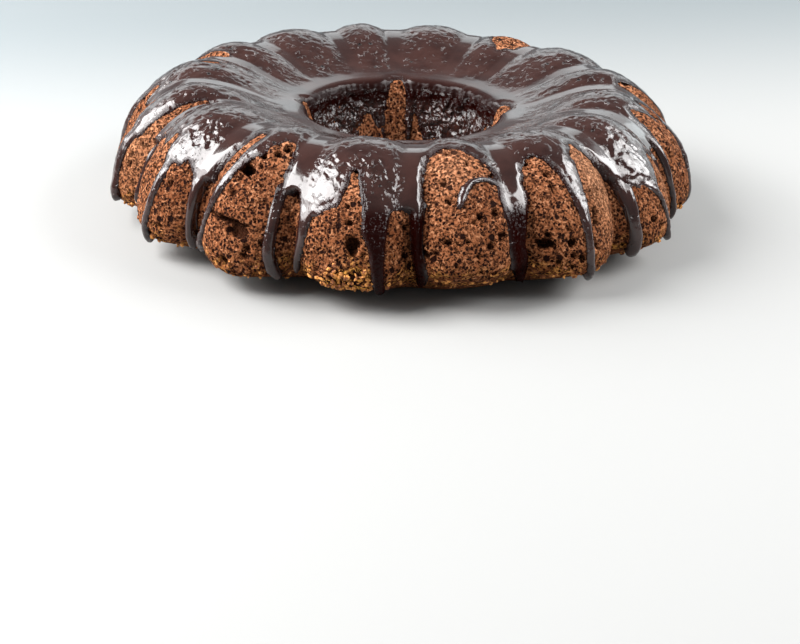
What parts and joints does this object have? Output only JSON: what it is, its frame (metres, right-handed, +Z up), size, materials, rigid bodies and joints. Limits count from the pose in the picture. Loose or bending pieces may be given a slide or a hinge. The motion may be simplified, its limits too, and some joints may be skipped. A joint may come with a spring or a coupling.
{
  "type": "bundt cake",
  "caption": "Fluted ring cake of chocolate sponge with broad and narrow rounded lobes, a tapering centre hole and a poured glossy chocolate glaze.",
  "frame": {"origin": "on the surface that the cake stands on, at the centre of its hole", "axes": "+Z up, along the axis of the hole; -Y is the side seen first"},
  "size_m": [0.239, 0.239, 0.0545],
  "materials": {
    "sponge": "matt red-brown chocolate sponge with open pores",
    "glaze": "glossy dark chocolate glaze"
  },
  "bodies": {
    "root": {"cake": "sponge"}
  },
  "joints": []
}
